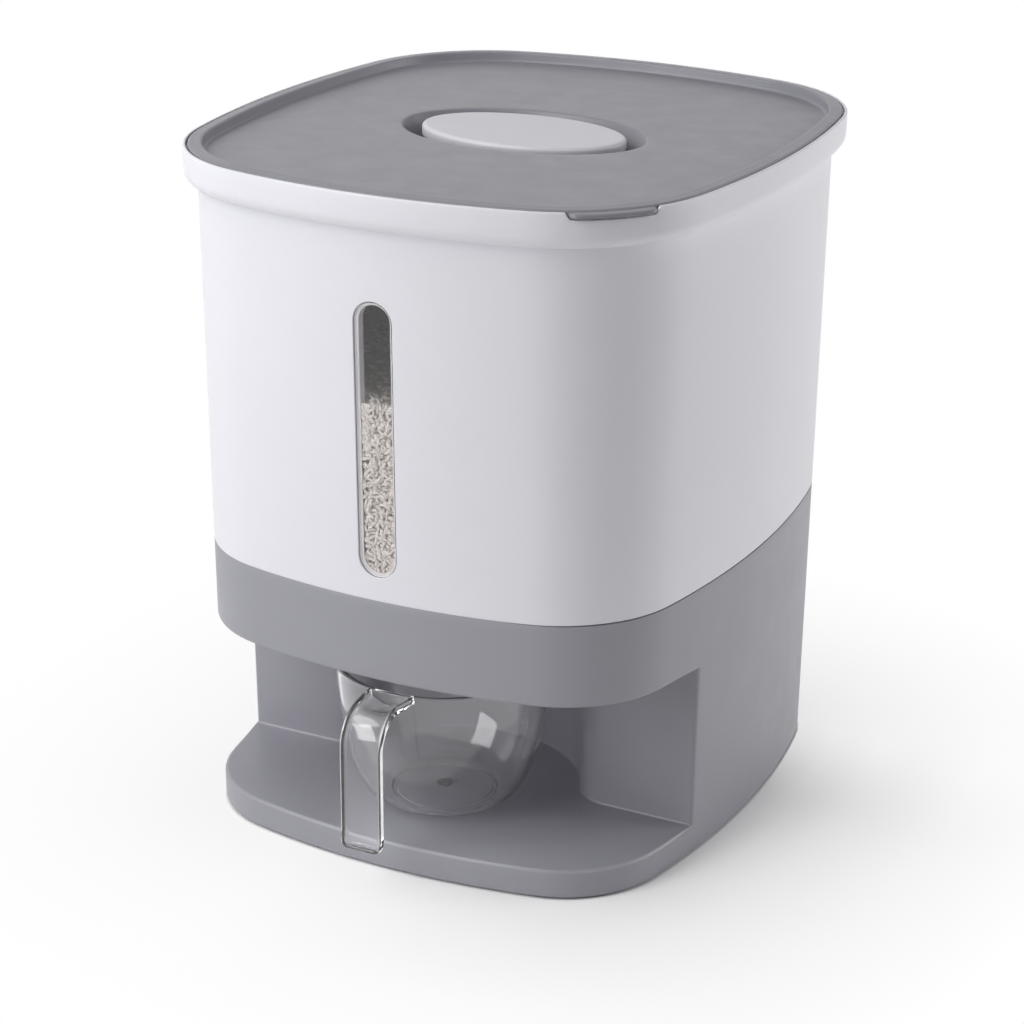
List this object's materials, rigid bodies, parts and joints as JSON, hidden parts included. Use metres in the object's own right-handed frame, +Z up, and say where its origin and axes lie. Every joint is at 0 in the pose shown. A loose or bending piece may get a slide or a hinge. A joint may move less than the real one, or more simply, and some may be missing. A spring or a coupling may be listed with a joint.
{
  "type": "rice dispenser",
  "caption": "Tapered square bin on a grey base: lift-off lid with a sunk grip, sight window, and a clear cup whose push opens a spring shutter under the hopper.",
  "frame": {"origin": "centre of the outer box's underside, on the table plane under the rubber feet", "axes": "+Z up, -Y to the front where the cup and the window are, +X to the right as seen from the front"},
  "size_m": [0.28, 0.32, 0.34],
  "materials": {
    "bin_white": "satin white polypropylene",
    "lid_grey": "fine matt cool grey",
    "base_grey": "fine matt grey",
    "grip_pale": "satin pale grey",
    "clear_plastic": "clear, polished",
    "hopper_white": "smooth white",
    "valve_white": "smooth white",
    "shutter_pale": "smooth, slippery",
    "pusher_grey": "fine matt grey",
    "soft_seal": "soft translucent grey silicone",
    "foot_rubber": "matt dark",
    "screw_steel": "bright zinc",
    "spring_steel": "drawn wire"
  },
  "bodies": {
    "housing": {"bin_shell": "bin_white", "window_lens": "clear_plastic", "hopper": "hopper_white", "hopper_gasket": "soft_seal", "base_housing": "base_grey", "feet": "foot_rubber", "frame_screws": "screw_steel", "valve_body": "valve_white", "outlet_seal": "soft_seal", "return_springs": "spring_steel", "valve_cover": "valve_white", "valve_screws": "screw_steel", "cover_screws": "screw_steel"},
    "shutter_slide": {"shutter": "shutter_pale", "pusher": "pusher_grey"},
    "cup": {"measuring_cup": "clear_plastic"},
    "lid": {"lid": "lid_grey", "lid_gasket": "soft_seal", "grip_plate": "grip_pale", "grip_screws": "screw_steel"}
  },
  "joints": [
    {"name": "shutter_push", "type": "slide", "parent": "housing", "child": "shutter_slide", "axis": [0, 1, 0], "range_m": [0, 0.0165], "stiffness_N_per_m": 180, "springref_m": -0.006, "deforming": ["return_springs"]},
    {"name": "cup_pull_out", "type": "slide", "parent": "shutter_slide", "child": "cup", "axis": [0, -1, 0], "range_m": [0, 0.15]},
    {"name": "lid_lift", "type": "slide", "parent": "housing", "child": "lid", "axis": [0, 0, 1], "range_m": [0, 0.12]}
  ]
}
